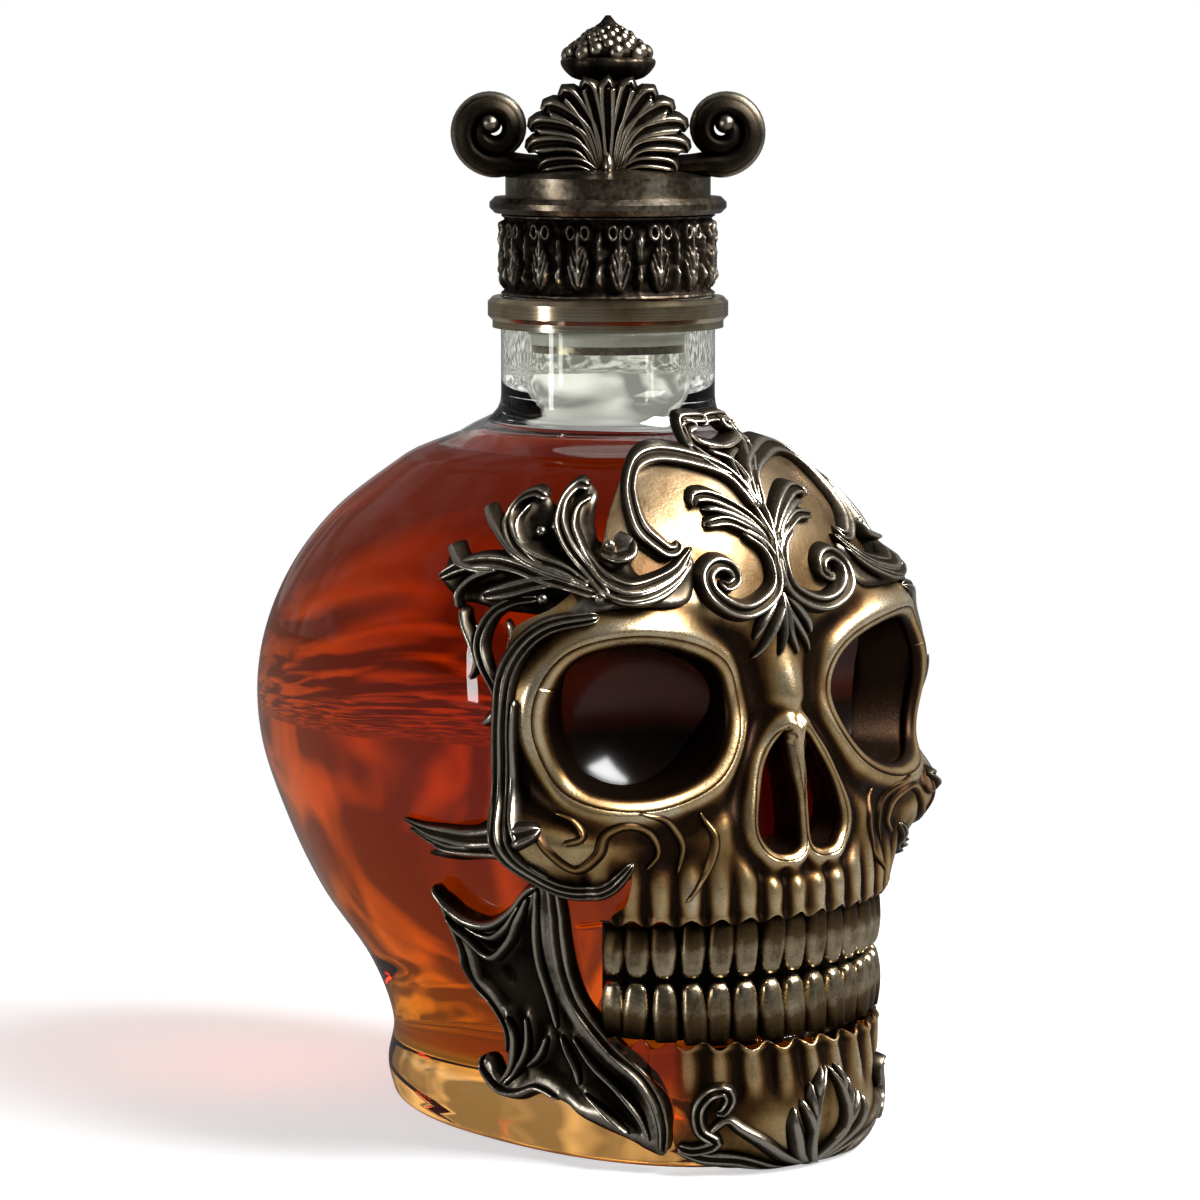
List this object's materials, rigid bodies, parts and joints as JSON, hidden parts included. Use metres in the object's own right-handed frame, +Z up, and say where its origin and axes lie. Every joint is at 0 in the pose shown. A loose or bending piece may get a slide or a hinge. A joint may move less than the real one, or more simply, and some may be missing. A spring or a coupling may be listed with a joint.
{
  "type": "figural liquor decanter",
  "caption": "Skull-shaped glass decanter with a cast metal face, an amber liquor chamber and a round neck closed by a crowned stopper that lifts out and turns",
  "frame": {"origin": "on the neck's axis, in the plane of the foot", "axes": "+Z up along the neck and the stopper, -Y the way the skull looks, +X its left side"},
  "size_m": [0.1354, 0.171, 0.2358],
  "materials": {
    "clear_glass": "clear, fire polished, thick at the foot",
    "dark_glass": "near-black amber glass, polished",
    "gilt_brass": "polished, slightly worn",
    "aged_bronze": "antiqued bronze with bright worn ridges and dark recesses",
    "antique_pewter": "dark oxidised casting with burnished ridges",
    "dark_patina": "near-black patina",
    "seal_polymer": "matt"
  },
  "bodies": {
    "bottle": {"brow_scroll_left": "antique_pewter", "brow_scroll_right": "antique_pewter", "cheek_spur_left": "antique_pewter", "cheek_spur_right": "antique_pewter", "chin_leaf": "antique_pewter", "chin_scroll_left": "antique_pewter", "chin_scroll_right": "antique_pewter", "crest_knot": "antique_pewter", "eye_bowl_left": "dark_glass", "eye_bowl_right": "dark_glass", "face_plate": "aged_bronze", "forehead_palm": "antique_pewter", "glass_vessel": "clear_glass", "jaw_strap_left": "antique_pewter", "jaw_strap_right": "antique_pewter", "lower_teeth": "aged_bronze", "mandible_plate": "aged_bronze", "mouth_backing": "dark_patina", "neck_collar": "gilt_brass", "palm_volute_left": "antique_pewter", "palm_volute_right": "antique_pewter", "temple_curl_left": "antique_pewter", "temple_curl_right": "antique_pewter", "temple_leaves_left": "antique_pewter", "temple_leaves_right": "antique_pewter", "upper_teeth": "aged_bronze"},
    "seal": {"plug_seals": "seal_polymer"},
    "stopper": {"bead_ring": "antique_pewter", "cap_band": "antique_pewter", "crown_drum": "antique_pewter", "crown_stud": "antique_pewter", "finial_bud": "antique_pewter", "finial_cup": "antique_pewter", "finial_post": "antique_pewter", "palmette_back": "antique_pewter", "palmette_front": "antique_pewter", "stopper_plug": "antique_pewter", "volute_left": "antique_pewter", "volute_right": "antique_pewter"}
  },
  "joints": [
    {"name": "stopper_lift", "type": "slide", "parent": "bottle", "child": "seal", "axis": [0, 0, 1], "range_m": [0, 0.045]},
    {"name": "stopper_twist", "type": "hinge", "parent": "seal", "child": "stopper", "pos_m": [0, 0, 0.17], "axis": [0, 0, 1], "continuous": true}
  ]
}
